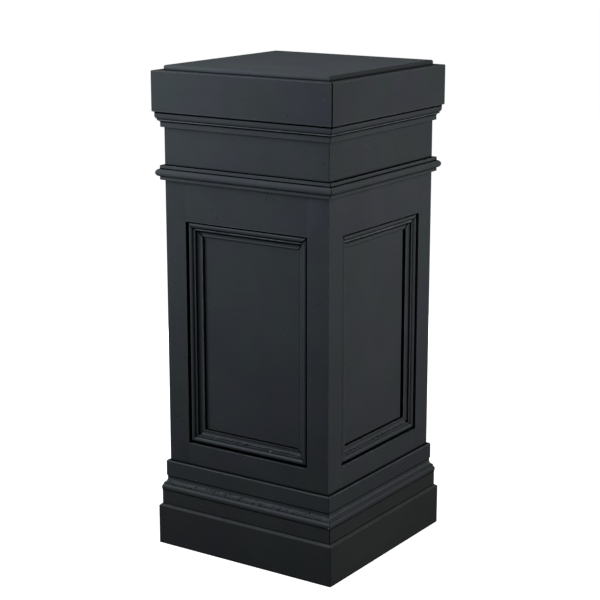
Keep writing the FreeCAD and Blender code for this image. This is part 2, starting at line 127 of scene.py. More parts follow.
def arc_points(start, end, radius, turn, step=ROUND_STEP):
    """Points after start, up to end, on the shorter arc; a round one bulges out of the wood."""
    chord = end - start
    reach = math.sqrt(max(radius ** 2 - (chord.length / 2) ** 2, 0))
    left = Vector((-chord.y, chord.x)).normalized()
    centre = (start + end) / 2 + (left if turn == "round" else -left) * reach
    first = math.atan2(start.y - centre.y, start.x - centre.x)
    last = math.atan2(end.y - centre.y, end.x - centre.x)
    sweep = (last - first + math.pi) % (2 * math.pi) - math.pi
    count = max(2, math.ceil(abs(sweep) / step))
    angles = [first + sweep * index / count for index in range(1, count + 1)]
    return [centre + radius * Vector((math.cos(a), math.sin(a))) for a in angles]


def draw(corners):
    """Closed counterclockwise outline, as points with the mark of the strip that leads to each.

    A corner is (out, up), reached by a straight line, or (out, up, radius, turn), by an arc. The
    mark of its strip may follow, and after that the mark of an arc's last two steps. Without one,
    a small round is painted pale as highlight and rub, and the rest is plain.
    """
    path = []
    for index, corner in enumerate(corners):
        start, end = Vector(corners[index - 1][:2]), Vector(corner[:2])
        if len(corner) <= 3:
            path.append((end, corner[2] if len(corner) == 3 else PLAIN))
            continue
        radius, turn = corner[2:4]
        mark = HIGHLIGHT_AND_RUB if turn == "round" and radius <= SMALL_RADIUS else PLAIN
        if len(corner) >= 5:
            mark = corner[4]
        path += [(place, mark) for place in arc_points(start, end, radius, turn)]
        if len(corner) == 6:
            path[-2:] = [(place, corner[5]) for place, old_mark in path[-2:]]
    return path


def soften(path, radius=ARRIS, shade_reach=CORNER_SHADE_REACH):
    """Rounds each sharp corner: it is painted pale as highlight and rub where wood stands out, and
    dark as shade and dirt where it is sunk.

    The painted shade and dirt reach at most as far as the reach given, on both sides of a sunk
    corner.
    """
    softened = []
    for index, (place, mark) in enumerate(path):
        before = place - path[index - 1][0]
        after = path[(index + 1) % len(path)][0] - place
        turn = math.atan2(before.cross(after), before.dot(after))
        if abs(turn) < CORNER_TURN:
            softened.append((place, mark))
            continue
        stands_out = turn > 0
        tangent = math.tan(abs(turn) / 2)
        wanted = radius if stands_out else radius * PAINT_FILL
        cut = min(wanted * tangent, MOST_CUT * before.length, MOST_CUT * after.length)
        start = place - before.normalized() * cut
        end = place + after.normalized() * cut
        before_reach = 0.0 if stands_out else min(shade_reach, MOST_CORNER_SHADE * before.length)
        after_reach = 0.0 if stands_out else min(shade_reach, MOST_CORNER_SHADE * after.length)
        if before_reach > cut:
            softened.append((place - before.normalized() * before_reach, mark))
            mark = SHADE_AND_DIRT
        softened.append((start, mark))
        kind, corner_mark = ("round", HIGHLIGHT_AND_RUB) if stands_out else ("hollow", SHADE_AND_DIRT)
        softened += [(each, corner_mark)
                     for each in arc_points(start, end, cut / tangent, kind, ARRIS_STEP)]
        if after_reach > cut:
            softened.append((place + after.normalized() * after_reach, SHADE_AND_DIRT))
    return softened


def normals_of(places):
    """Outward normals of a closed counterclockwise outline."""
    normals = []
    for index, place in enumerate(places):
        along = places[(index + 1) % len(places)] - places[index - 1]
        normals.append(Vector((along.y, -along.x)).normalized())
    return normals


# The outlines are in millimetres: out from the carcass face, and up from the foot of the piece.

def cap_outline():
    height = CAP_TOP - CAP_FOOT
    return [
        (0, 0),
        (CAP_OUT - CAP_ARRIS, 0),
        (CAP_OUT, CAP_ARRIS, CAP_ARRIS, "round"),
        (CAP_OUT, height - CAP_ARRIS),
        # The top arris is painted a little pale, as highlight and rub.
        (CAP_OUT - CAP_ARRIS, height, CAP_ARRIS, "round", 0.35),
        (CAP_INNER_ARRIS, height),
        (0, height - CAP_INNER_ARRIS, CAP_INNER_ARRIS, "round"),
    ]


def bed_outline():
    """From the foot up: plain face, small hollow, flat, ovolo, plain face."""
    height = BED_TOP - BED_FOOT
    foot_out, flat_out, top_out = 5.5, 9.8, 13.0
    hollow, ovolo = 4.0, 8.2
    # The small hollow is painted dark as shade, and the top of the face as the shadow under the
    # cap.
    shade_under_cap = 3.1
    return [
        (0, 0),
        (foot_out, 0),
        (foot_out, 8.2),
        (5.82, 9.77, hollow, "hollow", -0.4),
        (flat_out, 12.2, hollow, "hollow", SHADE_AND_DIRT),
        (flat_out, 15.2, 0.7),
        (top_out, 21.7, ovolo, "round"),
        (top_out, height - shade_under_cap),
        (top_out, height, SHADE_AND_DIRT),
        (0, height),
    ]


def astragal_outline():
    """A bead between two flats, painted dark as shade and dirt where it meets the upper one and
    along its top ledge.
    """
    height = ASTRAGAL_TOP - ASTRAGAL_FOOT
    flat, out, bead = 6.5, 7.1, 7.3
    return [
        (0, 0),
        (out, 0),
        (out, flat),
        (out, height - flat, bead, "round", PLAIN, SHADE_AND_DIRT),
        (out, height - flat + SHADE_LINE, SHADE_AND_DIRT),
        (out, height),
        (out - LEDGE_EDGE, height),
        (0, height, SHADE_AND_DIRT),
    ]


def base_moulding_outline():
    """From the foot up: round nose, flat, hollow, neck, band with a rounded top."""
    height = BASE_MOULDING_TOP - BASE_MOULDING_FOOT
    flat_out, neck_out, band_out = 10.4, 4.7, 6.0
    nose, hollow, band = 10.35, 8.75, 3.0
    # Painted dark as shade and dirt at the foot of the nose, under the band and along the top, and
    # a little in the hollow; the band's round is painted pale below, as highlight and rub, and dark
    # above, as shade.
    return [
        (0, 0),
        (BASE_BOARD_OUT, 0),
        (BASE_BOARD_OUT + NOSE_FOOT[0], NOSE_FOOT[1], SHADE_AND_DIRT),
        (flat_out, 12.1, nose, "round"),
        (flat_out, 15.1, -0.15),
        (6.95, 17.45, hollow, "hollow", -0.3),
        (neck_out, 23.3, hollow, "hollow", 0.25),
        (neck_out, 27.0),
        (neck_out, 29.2, SHADE_AND_DIRT),
        (band_out, 29.2),
        (band_out, height - band),
        (5.12, height - 0.88, band, "round", 0.8),
        (band_out - band, height, band, "round", -0.7),
        (0, height, SHADE_AND_DIRT),
    ]


def base_board_outline():
    # Painted dark as shade and dirt along its foot and its top.
    height = BASE_MOULDING_FOOT - PLINTH_TOP
    return [
        (0, 0),
        (BASE_BOARD_OUT, 0),
        (BASE_BOARD_OUT, SHADE_LINE, -0.8),
        (BASE_BOARD_OUT, height - SHADE_LINE),
        (BASE_BOARD_OUT, height, SHADE_AND_DIRT),
        (0, height),
    ]


def plinth_outline():
    # The bevel is painted a little pale, as highlight and rub, and dark along its top, as shade and
    # dirt.
    return [
        (0, 0),
        (PLINTH_OUT - PLINTH_ARRIS, 0),
        (PLINTH_OUT, PLINTH_ARRIS, PLINTH_ARRIS, "round"),
        (PLINTH_OUT, PLINTH_TOP - PLINTH_BEVEL_HEIGHT),
        (BASE_BOARD_OUT + BEVEL_SHADE * (PLINTH_OUT - BASE_BOARD_OUT),
         PLINTH_TOP - BEVEL_SHADE * PLINTH_BEVEL_HEIGHT, 0.15),
        (BASE_BOARD_OUT, PLINTH_TOP, -0.8),
        (0, PLINTH_TOP),
    ]


def frieze_outline():
    height = FRIEZE_TOP - FRIEZE_FOOT
    back = FRAME_BACK - FACE
    # A dark line over the astragal is painted as shade and dirt.
    return [
        (back, 0),
        (0, 0),
        (0, ASTRAGAL_TOP + SHADE_LINE - FRIEZE_FOOT, SHADE_AND_DIRT),
        (0, FRIEZE_UNSHADED_FOOT - FRIEZE_FOOT),
        (0, height),
        (back, height),
    ]


def stick_outline(lip):
    """Panel moulding, from its outer edge inwards and up from the panel, with a lip so high."""
    shelf_start, shelf_end, shelf_height = 9.7, 13.7, 11.8
    return [
        (0, 0),
        (STICK_WIDTH, 0),
        (STICK_WIDTH, lip - 1.1),
        (24.6, lip, 1.6, "round"),
        (shelf_end, 7.7, 9.3, "hollow"),
        (shelf_end, shelf_height),
        (shelf_start, shelf_height),
        (0, 11.0, 4.9, "round"),
    ]


# ---------------------------------------------------------------- meshes

class Piece:
    """One visible piece: a mesh that takes the place of a CAD node.

    Three layers on its faces tell its material of the marks of its strips, dark for painted shade
    and dirt and pale for painted highlight and rub, of how worn they are, and of where painted
    shade is kept out.
    """

    def __init__(self, node):
        self.node = node
        self.mesh = bmesh.new()
        # The first layer paints highlight and rub pale and shade and dirt dark; the last keeps
        # painted shade out.
        self.light_and_wear_mark = self.mesh.faces.layers.float.new("light_and_wear_mark")
        self.wear = self.mesh.faces.layers.float.new("wear")
        self.clean = self.mesh.faces.layers.float.new("clean")

    def add_rings(self, rings, marks, worn, turn, clean=None, end_mark=SHADE_AND_DIRT):
        """Skin over closed rings of points, with both ends capped."""
        clean = clean or [0.0] * len(marks)
        rows = [[self.mesh.verts.new(turn @ place * MM) for place in ring] for ring in rings]
        for low, high in zip(rows, rows[1:]):
            for index in range(len(low)):
                face = self.mesh.faces.new(
                    (low[index - 1], low[index], high[index], high[index - 1]))
                face[self.light_and_wear_mark] = marks[index]
                face[self.wear] = worn[index]
                face[self.clean] = clean[index]
        # The end caps take end_mark, by default painted dark as shade and dirt.
        for row in (rows[0], rows[-1]):
            self.mesh.faces.new(row)[self.light_and_wear_mark] = end_mark

    def finish(self, material):
        """Makes the Blender object, on the stand's one body."""
        bmesh.ops.recalc_face_normals(self.mesh, faces=self.mesh.faces)
        for face in self.mesh.faces:
            face.smooth = True
        data = bpy.data.meshes.new(self.node)
        self.mesh.to_mesh(data)
        self.mesh.free()
        piece = bpy.data.objects.new("wood_" + self.node, data)
        bpy.context.scene.collection.objects.link(piece)
        shading = piece.modifiers.new("flat_faces_stay_flat", "WEIGHTED_NORMAL")
        shading.weight = 100
        data.materials.append(material)
        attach(piece, "root")
        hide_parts(self.node)
        return piece


def turn_of(side):
    return Matrix.Rotation(math.radians(SIDES[side]), 3, "Z")


END_ZONE = 3.0  # the last stretch before a mitre, drawn finer
END_INSETS = (END_ZONE, 1.2, 0.3, 0.0)
END_SHRINK = 0.3  # the arris of the mitre itself


def stations(length, step):
    """Where the rings of a mitred length stand: (hand, distance before the mitre, fraction)."""
    count = max(2, round(length / step))
    places = [(-1, inset, None) for inset in reversed(END_INSETS)]
    places += [(0, 0.0, 2 * index / count - 1) for index in range(1, count)]
    places += [(1, inset, None) for inset in END_INSETS]
    return places


# The pattern of the wear: two noises, by their frequency in each millimetre.
WEAR_FINE = 0.45
WEAR_BROAD = 0.09
WEAR_BROAD_SHARE = 0.7
WEAR_LEVEL = 0.25
WEAR_DEPTH = 0.8


def roughened(place, weight, seed):
    """How deep, in millimetres, wear has bitten at a place."""
    if weight == 0:
        return 0.0
    fine = noise.noise(Vector(place) * WEAR_FINE + Vector((seed, 0, 0)))
    broad = noise.noise(Vector(place) * WEAR_BROAD + Vector((0, seed, 0)))
    return weight * max(0.0, WEAR_LEVEL + fine + WEAR_BROAD_SHARE * broad) * WEAR_DEPTH


def mitred_rings(path, reach_of, foot, openings, step, weights, seed):
    """Rings of a length whose two ends stand on the mitre planes, less each joint's opening."""
    places = [place for place, mark in path]
    normals = normals_of(places)
    length = 2 * reach_of(max(place.x for place in places))
    rings = []
    for hand, inset, fraction in stations(length, step):
        shrink = END_SHRINK if inset == 0.0 and hand else 0.0
        ring = []
        for place, normal, weight in zip(places, normals, weights):
            spot = place - normal * shrink
            if hand:
                along = hand * (reach_of(spot.x) - openings[hand] - inset)
            else:
                along = fraction * (reach_of(spot.x) - END_ZONE)
            bite = roughened((spot.x, spot.y + foot, along), weight, seed)
            spot = spot - normal * bite
            ring.append((spot.x, along, spot.y))
        rings.append(ring)
    return rings


# How far, in millimetres, a piece stands back from its mitre plane. The joints at the corner
# nearest the viewer have opened most, above all at the cap.
NEAR_ENDS = {("front", 1), ("right", -1)}
NEAR_GAPS = {"cap_board": 1.25, "bed_moulding": 0.5, "frieze_board": 0.35, "astragal": 0.6,
             "base_board": 0.7, "base_moulding": 0.3, "plinth_board": 0.25, "stile": 0.3}
OTHER_GAPS = (0.08, 0.22)


def joint_openings(kind, side):
    """The gaps at the left end of a side's piece, -1, and at its right end, 1."""
    chance = random.Random(f"{kind} joints")
    corner_gaps = {corner: chance.uniform(*OTHER_GAPS) for corner in range(4)}
    openings = {}
    for hand in (-1, 1):
        corner = (SIDES[side] // 90 + (1 if hand > 0 else 0)) % 4
        openings[hand] = corner_gaps[corner]
        if (side, hand) in NEAR_ENDS:
            openings[hand] = NEAR_GAPS[kind]
    return openings


# Where a moulding is worn: the band of its height that the wear keeps to, and how much there is.
WORN = {"base_moulding": (13.4, 19.6, 1.0), "astragal": (0.0, 7.0, 0.15)}
WORN_OUT = 4.0  # worn strips stand further out than this
WEAR_ON_SIDE = {"front": 1.0, "right": 0.0, "back": 0.5, "left": 0.5}

# The stretch of height where painted shade is kept out.
BELOW_FOOT = 1.0  # takes in the foot of a piece
ABOVE_STRIP = 0.1  # leaves out the strip that ends at a level
UNSHADED = {"frieze_board": (FRIEZE_UNSHADED_FOOT + ABOVE_STRIP, CAP_TOP),
         "bed_moulding": (BED_FOOT - BELOW_FOOT, BED_FOOT + BED_UNSHADED),
         "astragal": (ASTRAGAL_FOOT - BELOW_FOOT, ASTRAGAL_FOOT + ASTRAGAL_UNSHADED)}

# Paint has filled the corner over the nose of the base moulding, so less painted shade and dirt
# goes
# there: between two heights and from an outreach on.
FILLED_CORNER = (11.0, 14.0, 9.0)
FILLED_MARK = -0.2
FACES_DOWN = 0.35  # how much of a strip's normal points down where no painted highlight and rub goes


def marks_of(kind, path):
    """The strips' marks, with no painted highlight and rub on arrises that face down, and less
    painted shade and dirt over the nose.
    """
    low, high, out = FILLED_CORNER
    marks = []
    for index, (place, mark) in enumerate(path):
        along = place - path[index - 1][0]
        outward = Vector((along.y, -along.x)).normalized()
        filled = kind == "base_moulding" and low < place.y < high and place.x > out
        if mark > 0 and -outward.y > FACES_DOWN:
            mark = PLAIN
        elif filled:
            mark = max(mark, FILLED_MARK)
        marks.append(mark)
    return marks


def side_board(kind, side, outline, foot, step, material):
    """A board or moulding that runs along one side and is mitred at both corners."""
    path = soften(draw(outline))
    worn_low, worn_high, weight = WORN.get(kind, (0, 0, 0))
    weight *= WEAR_ON_SIDE[side]
    weights = [weight if worn_low < place.y < worn_high and place.x > WORN_OUT else 0.0
               for place, mark in path]
    rings = mitred_rings(path, lambda out: FACE + out, foot, joint_openings(kind, side), step,
                         weights, SIDES[side] + foot)
    placed = [[Vector((FACE + out, along, foot + up)) for out, along, up in ring]
              for ring in rings]
    unshaded_low, unshaded_high = UNSHADED.get(kind, (0, 0))
    clean = [1.0 if unshaded_low < foot + place.y < unshaded_high else 0.0 for place, mark in path]
    piece = Piece(f"{kind}_{side}")
    piece.add_rings(placed, marks_of(kind, path), weights, turn_of(side), clean)
    return piece.finish(material)


# The panel sticks. A table's key is an edge of the panel, or a side and an edge for one stick.
STICK_EDGES = ("bottom", "right", "top", "left")
STICK_STEP = 3.0
STICK_ARRIS = 0.35
STICK_OPENING = 0.1
STICK_LIP = 6.3
FILLED_LIPS = {"top": 4.2, ("front", "right"): 4.2}  # lips that paint has half filled
STICK_SHIFTS = {"top": (0, 0, 2.0), ("front", "right"): (0, 0.7, 0)}  # sticks set off centre
# How far painted shade and dirt reach round the sunk corners of some sticks.
STICK_CORNER_SHADES = {"top": 1.7, ("right", "top"): 0.9, ("front", "bottom"): 0.6}
STICK_WEAR = {"bottom": 0.8, "right": 0.15, "top": 0.15, "left": 0.1}

# Stretches across a stick from its outer edge, and levels over the panel, where its wear and its
# painted highlight and shade lie.
STICK_WORN_BAND = (10.5, 15.0)
WORN_LEVEL = 1.0  # wear stays off the back
SHELF = (9.0, 14.5)  # round its highest flat
SHELF_LEVEL = 10.5
STEP_FOOT = (13.5, 18.0)  # at the foot of the step down from that flat
STEP_FOOT_LEVEL = 9.0
LIP_START = 23.0  # the lip along the panel
LIP_WALL = STICK_WIDTH - 1.2  # the lip's upright face


def of_stick(table, side, edge, usual):
    """What a table says of one stick."""
    return table.get((side, edge), table.get(edge, usual))


def stick_mark(edge, filled, place, mark):
    """The mark of one strip of a stick, by where it lies and which edge of the panel it is on."""
    on_lip = place.x > LIP_START
    if on_lip and filled:
        return PLAIN
    # The lip's upright face on the bottom and right sticks is painted dark as shade and dirt, and
    # the bottom lip pale as highlight and rub.
    if edge in ("bottom", "right") and place.x > LIP_WALL:
        return SHADE_AND_DIRT
    if on_lip and edge == "bottom":
        return HIGHLIGHT_AND_RUB
    if edge != "top":
        return mark
    # On the top stick, the foot of the step is painted dark as shade, and the shelf pale as
    # highlight and rub.
    if place.y < STEP_FOOT_LEVEL and STEP_FOOT[0] < place.x < STEP_FOOT[1]:
        return -0.8
    if mark == PLAIN and place.y > SHELF_LEVEL and SHELF[0] < place.x < SHELF[1]:
        return HIGHLIGHT_AND_RUB
    return mark


def panel_moulding(side, material):
    """Four mitred sticks on the panel of one side."""
    piece = Piece(f"panel_moulding_{side}")
    half_width = STICKS_HIGH.y
    half_height = (STICKS_HIGH.z - STICKS_LOW.z) / 2
    middle = Vector((FRAME_BACK, 0, (STICKS_HIGH.z + STICKS_LOW.z) / 2))
    low, high = STICK_WORN_BAND
    openings = {-1: STICK_OPENING, 1: STICK_OPENING}
    for quarter, edge in enumerate(STICK_EDGES):
        half_length, reach = half_width, half_height
        if edge in ("right", "left"):
            half_length, reach = half_height, half_width
        lip = of_stick(FILLED_LIPS, side, edge, STICK_LIP)
        filled = lip < STICK_LIP
        shade_reach = of_stick(STICK_CORNER_SHADES, side, edge, 0.0)
        shift = Vector(of_stick(STICK_SHIFTS, side, edge, (0, 0, 0)))
        path = soften(draw(stick_outline(lip)), STICK_ARRIS, shade_reach)
        weights = [STICK_WEAR[edge] if low < place.x < high and place.y > WORN_LEVEL else 0.0
                   for place, mark in path]
        rings = mitred_rings(path, lambda across: half_length - across, 0.0, openings,
                             STICK_STEP, weights, SIDES[side] + 10 * quarter)
        turn = Matrix.Rotation(math.radians(90 * quarter), 3, "X")
        placed = [[middle + turn @ Vector((up, along, across - reach)) + shift
                   for across, along, up in ring] for ring in rings]
        marks = [stick_mark(edge, filled, place, mark) for place, mark in path]
        # Half-filled lips are kept free of painted shade.
        clean = [1.0 if filled and place.x > LIP_START else 0.0 for place, mark in path]
        # The right stick's ends are painted dark as shade and dirt, the others plain.
        piece.add_rings(placed, marks, weights, turn_of(side), clean,
                        SHADE_AND_DIRT if edge == "right" else PLAIN)
    return piece.finish(material)


WELD = 0.001  # millimetres
SLACK = 0.01  # millimetres


def eased_copy(node, side, wanted, radius, cuts=(), move=None):
    """A copy of a flat-faced CAD node whose wanted edges are rounded.

    Before that, its faces are parted at the levels of the cuts, and move shifts its corners.
    """
    piece = Piece(node)
    turned = turn_of(side).to_4x4()
    mesh = piece.mesh
    mesh.from_mesh(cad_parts[node].data)
    mesh.transform(turned.inverted() @ Matrix.Scale(1 / MM, 4))
    bmesh.ops.remove_doubles(mesh, verts=mesh.verts, dist=WELD)
    bmesh.ops.dissolve_limit(mesh, angle_limit=math.radians(1), verts=mesh.verts,
                             edges=mesh.edges)
    for level in cuts:
        geometry = list(mesh.verts) + list(mesh.edges) + list(mesh.faces)
        bmesh.ops.bisect_plane(mesh, geom=geometry, plane_co=(0, 0, level),
                               plane_no=(0, 0, 1), dist=WELD)
    if move:
        for vertex in mesh.verts:
            vertex.co += move(vertex.co)
    edges = [edge for edge in mesh.edges if wanted(*(vertex.co for vertex in edge.verts))]
    made = bmesh.ops.bevel(mesh, geom=edges, offset=radius, offset_type="OFFSET", segments=3,
                           profile=0.5, affect="EDGES")
    # The rounded edges are painted pale as highlight and rub, and faces near the astragal are kept
    # free of painted shade.
    for face in made["faces"]:
        face[piece.light_and_wear_mark] = HIGHLIGHT_AND_RUB
    for face in mesh.faces:
        under_astragal = face.calc_center_median().z > FRAME_UNSHADED_FOOT
        face[piece.clean] = 1.0 if under_astragal else 0.0
    mesh.transform(turned @ Matrix.Scale(MM, 4))
    return piece


def close(first, second):
    return abs(first - second) < SLACK


def rail(kind, side, level, material):
    """A rail of the frame, its edge round the opening rounded and painted pale as highlight and
    rub.
    """
    def on_opening(first, second):
        return all(close(end.x, FACE) and close(end.z, level) for end in (first, second))

    cuts = (FRAME_UNSHADED_FOOT,) if kind == "top_rail" else ()
    return eased_copy(f"{kind}_{side}", side, on_opening, FRAME_ARRIS, cuts).finish(material)


def stile(hand_name, side, material):
    """An upright of the frame: rounded along the opening and painted pale there as highlight and
    rub, and a little open at the mitre.
    """
    hand = HANDS[hand_name]
    opening = joint_openings("stile", side)[hand]

    def off_mitre(place):
        on_mitre = close(place.x, abs(place.y)) and place.x > FRAME_BACK - 1
        return Vector((0, -hand * opening, 0)) if on_mitre else Vector()

    def wanted(first, second):
        ends = (first, second)
        upright = close(first.y, second.y) and all(close(end.x, FACE) for end in ends)
        if not upright:
            return False
        middle = (first.z + second.z) / 2
        beside_opening = close(abs(first.y), OPENING_HALF) and OPENING_FOOT < middle < OPENING_TOP
        return beside_opening or close(abs(first.y), FACE - opening)

    cuts = (OPENING_FOOT, OPENING_TOP, FRAME_UNSHADED_FOOT)
    piece = eased_copy(f"{hand_name}_stile_{side}", side, wanted, FRAME_ARRIS / 2, cuts, off_mitre)
    return piece.finish(material)


QUARTERS = ((1, 1), (-1, 1), (-1, -1), (1, -1))
CORNER_STEPS = 4
EDGE_STEPS = 6
SLAB_CORNER_GROWTH = 0.4  # how much its corners widen for each millimetre that the edge turns in
SLAB_SHADE = -0.55  # the edge over the right side is painted dark as shade
SLAB_SHADE_REACH = 2.2


def slab_ring(half, corner, level):
    """A level square ring with rounded corners."""
    ring = []
    middle = half - corner
    for quarter, (sign_x, sign_y) in enumerate(QUARTERS):
        for index in range(CORNER_STEPS + 1):
            angle = math.radians(90) * (quarter + index / CORNER_STEPS)
            ring.append(Vector((sign_x * middle + corner * math.cos(angle),
                                sign_y * middle + corner * math.sin(angle), level)))
    return ring


def slab(material):
    """The top board, with a rounded upper edge and soft corners."""
    piece = Piece("top_board")
    rings = [slab_ring(SLAB_HALF - ARRIS, SLAB_CORNER - ARRIS / 2, SLAB_FOOT),
             slab_ring(SLAB_HALF, SLAB_CORNER, SLAB_FOOT + ARRIS)]
    for index in range(EDGE_STEPS + 1):
        angle = math.radians(90) * index / EDGE_STEPS
        inset = SLAB_ARRIS * (1 - math.cos(angle))
        level = SLAB_TOP - SLAB_ARRIS * (1 - math.sin(angle))
        rings.append(slab_ring(SLAB_HALF - inset, SLAB_CORNER + SLAB_CORNER_GROWTH * inset, level))
    rings.append(slab_ring(SLAB_HALF - SLAB_ARRIS * 2, SLAB_CORNER, SLAB_TOP))
    unmarked = [0.0] * len(rings[0])
    piece.add_rings(rings, unmarked, unmarked, Matrix.Identity(3), end_mark=PLAIN)
    # The rounded edge over the right side is painted dark as shade.
    for face in piece.mesh.faces:
        middle = face.calc_center_median() / MM
        over_right_side = middle.x > abs(middle.y) and middle.x > SLAB_HALF - SLAB_SHADE_REACH
        if over_right_side and middle.z < SLAB_TOP - SLACK:
            face[piece.light_and_wear_mark] = SLAB_SHADE
    return piece.finish(material)


# ---------------------------------------------------------------- shader nodes

def new_material(name):
    material = bpy.data.materials.new(name)
    material.use_nodes = True
    return material, material.node_tree


def link(tree, source, target):
    tree.links.new(source, target)


def add(tree, kind, **settings):
    """A shader node. A setting is the node's own where it has one so named, or else an input's."""
    made = tree.nodes.new(kind)
    for name, setting in settings.items():
        if hasattr(made, name):
            setattr(made, name, setting)
        else:
            made.inputs[name.replace("_", " ")].default_value = setting
    return made


def mapped_noise(tree, coordinates, scale, detail=2.0, roughness=0.5):
    """Noise over the object's own coordinates, with a scale for all axes or for each of them."""
    mapping = add(tree, "ShaderNodeMapping")
    mapping.inputs["Scale"].default_value = scale if isinstance(scale, tuple) else (scale,) * 3
    link(tree, coordinates, mapping.inputs["Vector"])
    made = add(tree, "ShaderNodeTexNoise", Scale=1.0, Detail=detail, Roughness=roughness)
    link(tree, mapping.outputs["Vector"], made.inputs["Vector"])
    return made.outputs["Fac"]


def stretched(axis, along, across):
    """A noise scale for each axis: one along the strokes or the grain, and one across them."""
    return tuple(along if letter == axis else across for letter in "XYZ")


def ramp(tree, source, low, high, to_low=0.0, to_high=1.0):
    """Maps the stretch from low to high of a value onto another, and holds it at the ends."""
    made = add(tree, "ShaderNodeMapRange")
    made.inputs["From Min"].default_value = low
    made.inputs["From Max"].default_value = high
    made.inputs["To Min"].default_value = to_low
    made.inputs["To Max"].default_value = to_high
    link(tree, source, made.inputs["Value"])
    return made.outputs["Result"]


def maths(tree, operation, first, second=None):
    made = add(tree, "ShaderNodeMath", operation=operation)
    for socket, value in zip(made.inputs, (first, second)):
        if isinstance(value, (int, float)):
            socket.default_value = value
        elif value is not None:
            link(tree, value, socket)
    return made.outputs["Value"]


def mixed(tree, factor, first, second):
    """A colour between two, each a socket or a plain colour."""
    made = add(tree, "ShaderNodeMix", data_type="RGBA")
    link(tree, factor, made.inputs["Factor"])
    for socket, value in ((made.inputs[6], first), (made.inputs[7], second)):
        if isinstance(value, tuple):
            socket.default_value = value
        else:
            link(tree, value, socket)
    return made.outputs[2]


def shaded(tree, base, factor):
    """A colour times a grey factor."""
    made = add(tree, "ShaderNodeVectorMath", operation="SCALE")
    link(tree, base, made.inputs[0])
    link(tree, factor, made.inputs["Scale"])
    return made.outputs["Vector"]


def face_layer(tree, name):
    """A layer of the faces of a Piece; a CAD node has none, and reads as 0."""
    return add(tree, "ShaderNodeAttribute", attribute_name=name).outputs["Fac"]


def colour(red, green, blue):
    return (red, green, blue, 1.0)


def grey(level):
    return colour(level, level, level)


def tinted(base, factor):
    """A colour times a number, or times three, one for each channel."""
    factors = factor if isinstance(factor, tuple) else (factor,) * 3
    return colour(*(channel * part for channel, part in zip(base, factors)))


# ---------------------------------------------------------------- materials

PAINT = colour(0.0351, 0.0380, 0.0400)
COOL_PAINT = colour(0.0352, 0.0367, 0.0424)
GREEN_PAINT = colour(0.0341, 0.0391, 0.0394)
SHEEN = 0.0012
BRUSH_ACROSS = 420.0
BRUSH_ALONG = 9.0

# What lies on the paint or has come off it, and painted highlight and shade, each so many times as
# pale as the paint.
DARK_SPECK = 0.35
PALE_SPECK = 2.4
DUST_AND_TOPLIGHT_TONE = 2.4
HIGHLIGHT_AND_RUB_TONE = 2.6
SHADE_AND_DIRT_TONE = 0.06
CRACK_TONE = 0.3
FLAKE_TONE = 2.2
# Painted shade in joints and sunk corners, from ambient occlusion: its tone, reach, depth, and what
# is left of it in filled joints.
PAINTED_SHADE_TONE = 0.04
PAINTED_SHADE = (0.006, 0.50, 0.88)  # reach in metres, and the openness where it is full and where it ends
PAINTED_SHADE_DEPTH = 0.97
PAINTED_SHADE_IN_FILLED_JOINTS = 0.1


def speckled(tree, place, patches, base):
    """Dark and pale specks, more of them in some patches."""
    dark = mapped_noise(tree, place, 260.0, 0.0)
    dark = maths(tree, "MULTIPLY", ramp(tree, dark, 0.80, 0.84), ramp(tree, patches, 0.45, 0.6))
    base = mixed(tree, dark, base, tinted(PAINT, DARK_SPECK))
    pale = mapped_noise(tree, place, 310.0, 0.0)
    pale = maths(tree, "MULTIPLY", ramp(tree, pale, 0.82, 0.85), ramp(tree, patches, 0.5, 0.62))
    return mixed(tree, pale, base, tinted(PAINT, PALE_SPECK))


def facing_up(tree):
    """0 on plain upright faces, 1 on faces that lie half back, and less on level ones."""
    normal = add(tree, "ShaderNodeSeparateXYZ")
    link(tree, add(tree, "ShaderNodeNewGeometry").outputs["True Normal"], normal.inputs[0])
    return maths(tree, "MULTIPLY", ramp(tree, normal.outputs["Z"], 0.1, 0.5),
                 ramp(tree, normal.outputs["Z"], 0.6, 0.95, 1.0, 0.3))


def add_dust_and_toplight(tree, patches, base, dust_and_toplight):
    """Dust, and painted light from above, on what faces up."""
    lying = maths(tree, "MULTIPLY", facing_up(tree), ramp(tree, patches, 0.3, 0.6, 0.8, 1.0))
    return mixed(tree, maths(tree, "MULTIPLY", lying, dust_and_toplight), base, tinted(PAINT, DUST_AND_TOPLIGHT_TONE))


def marked(tree, place, base, lit_tint):
    """Pale in patches where a strip carries painted highlight and rub, and dark where it carries
    painted shade and dirt.
    """
    light_and_wear_mark = face_layer(tree, "light_and_wear_mark")
    patchy = mapped_noise(tree, place, 55.0, 5.0, 0.7)
    lit_and_rubbed = maths(tree, "MULTIPLY", ramp(tree, light_and_wear_mark, PLAIN, HIGHLIGHT_AND_RUB), ramp(tree, patchy, 0.30, 0.70))
    base = mixed(tree, lit_and_rubbed, base, tinted(tinted(PAINT, HIGHLIGHT_AND_RUB_TONE), lit_tint))
    return mixed(tree, ramp(tree, light_and_wear_mark, PLAIN, SHADE_AND_DIRT), base, tinted(PAINT, SHADE_AND_DIRT_TONE))


def cracked(tree, place, base):
    """Dark cracks and pale flakes where a strip is worn."""
    wear = face_layer(tree, "wear")
    pattern = mapped_noise(tree, place, 120.0, 6.0, 0.75)
    cracks = maths(tree, "MULTIPLY", wear, ramp(tree, pattern, 0.53, 0.61))
    base = mixed(tree, cracks, base, tinted(PAINT, CRACK_TONE))
    flakes = maths(tree, "MULTIPLY", wear, ramp(tree, pattern, 0.40, 0.34))
    return mixed(tree, flakes, base, tinted(PAINT, FLAKE_TONE))


